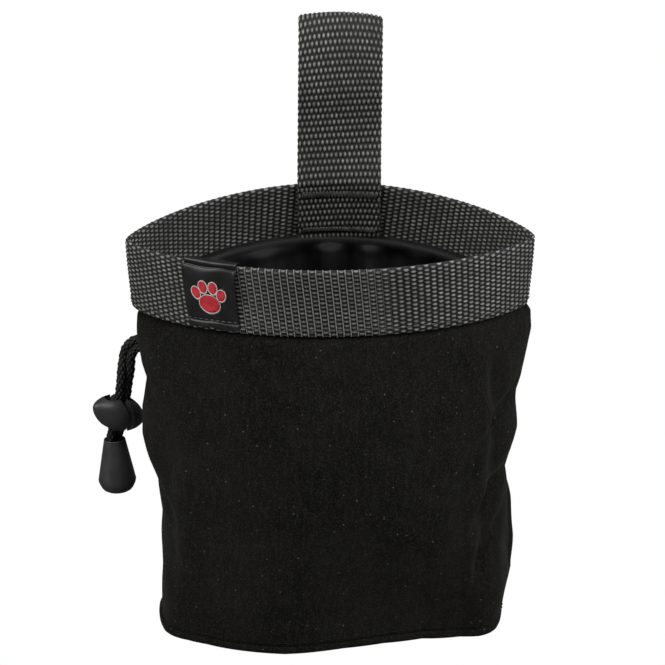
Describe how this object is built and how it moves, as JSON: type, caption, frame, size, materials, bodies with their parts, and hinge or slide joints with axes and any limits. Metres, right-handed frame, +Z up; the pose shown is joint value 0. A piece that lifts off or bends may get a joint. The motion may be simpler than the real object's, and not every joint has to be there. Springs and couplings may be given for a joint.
{
  "type": "treat pouch",
  "caption": "Soft standing treat pouch with a webbing rim and belt loop, a lined mouth, and a drawstring with a spring cord lock and a bell-shaped end.",
  "frame": {"origin": "bottom centre of the pouch's box, on the surface it stands on", "axes": "+Z up, -Y to the front with the label, +X to the right seen from the front; the drawstring leaves on the -X side"},
  "size_m": [0.156, 0.0961, 0.2106],
  "materials": {
    "suede": "soft napped black fabric",
    "webbing": "grey and black woven webbing",
    "nylon": "smooth black nylon",
    "cord": "braided black cord",
    "plastic": "moulded black plastic",
    "spring_steel": "plain steel wire",
    "eyelet_metal": "black painted metal",
    "satin": "black satin",
    "red_thread": "woven red thread",
    "grey_thread": "grey sewing thread",
    "black_thread": "black sewing thread"
  },
  "bodies": {
    "pouch": {"front_panel": "suede", "back_panel": "suede", "base_panel": "suede", "base_seam_thread": "black_thread", "rim_band": "webbing", "rim_stitch_thread": "grey_thread", "lining_wall": "nylon", "lining_floor": "nylon", "drawstring_casing": "nylon", "drawstring_loop": "cord", "eyelet": "eyelet_metal", "loop_inner_leg": "webbing", "loop_outer_leg": "webbing", "loop_stitch_inner_upper": "black_thread", "loop_stitch_inner_lower": "black_thread", "loop_stitch_outer_upper": "black_thread", "loop_stitch_outer_lower": "black_thread", "label": "satin", "label_emblem": "red_thread", "label_stitch": "grey_thread"},
    "loop": {"belt_loop": "webbing"},
    "cord_drop": {"cord_strand_inner": "cord", "cord_strand_outer": "cord", "cord_end_bell": "plastic", "cord_end_cap": "plastic", "cord_knot": "cord"},
    "cord_lock": {"cord_lock_barrel": "plastic", "cord_lock_spring": "spring_steel"},
    "lock_plunger": {"cord_lock_plunger": "plastic"}
  },
  "joints": [
    {"name": "loop_fold", "type": "hinge", "parent": "pouch", "child": "loop", "pos_m": [0.0036, 0.03916, 0.1492], "axis": [1, 0, 0], "range_deg": [-45, 45], "stiffness_Nm_per_rad": 0.02},
    {"name": "cord_swing", "type": "hinge", "parent": "pouch", "child": "cord_drop", "pos_m": [-0.06278, 0.00626, 0.0985], "axis": [-0.8864, 0.463, 0], "range_deg": [-60, 60]},
    {"name": "lock_slide", "type": "slide", "parent": "cord_drop", "child": "cord_lock", "axis": [-0.1308, 0.0683, -0.9891], "range_m": [-0.003, 0.003]},
    {"name": "plunger_press", "type": "slide", "parent": "cord_lock", "child": "lock_plunger", "axis": [0.8368, 0.5427, -0.0732], "range_m": [0, 0.002], "stiffness_N_per_m": 300, "springref_m": -0.001, "deforming": ["cord_lock_spring"]}
  ]
}
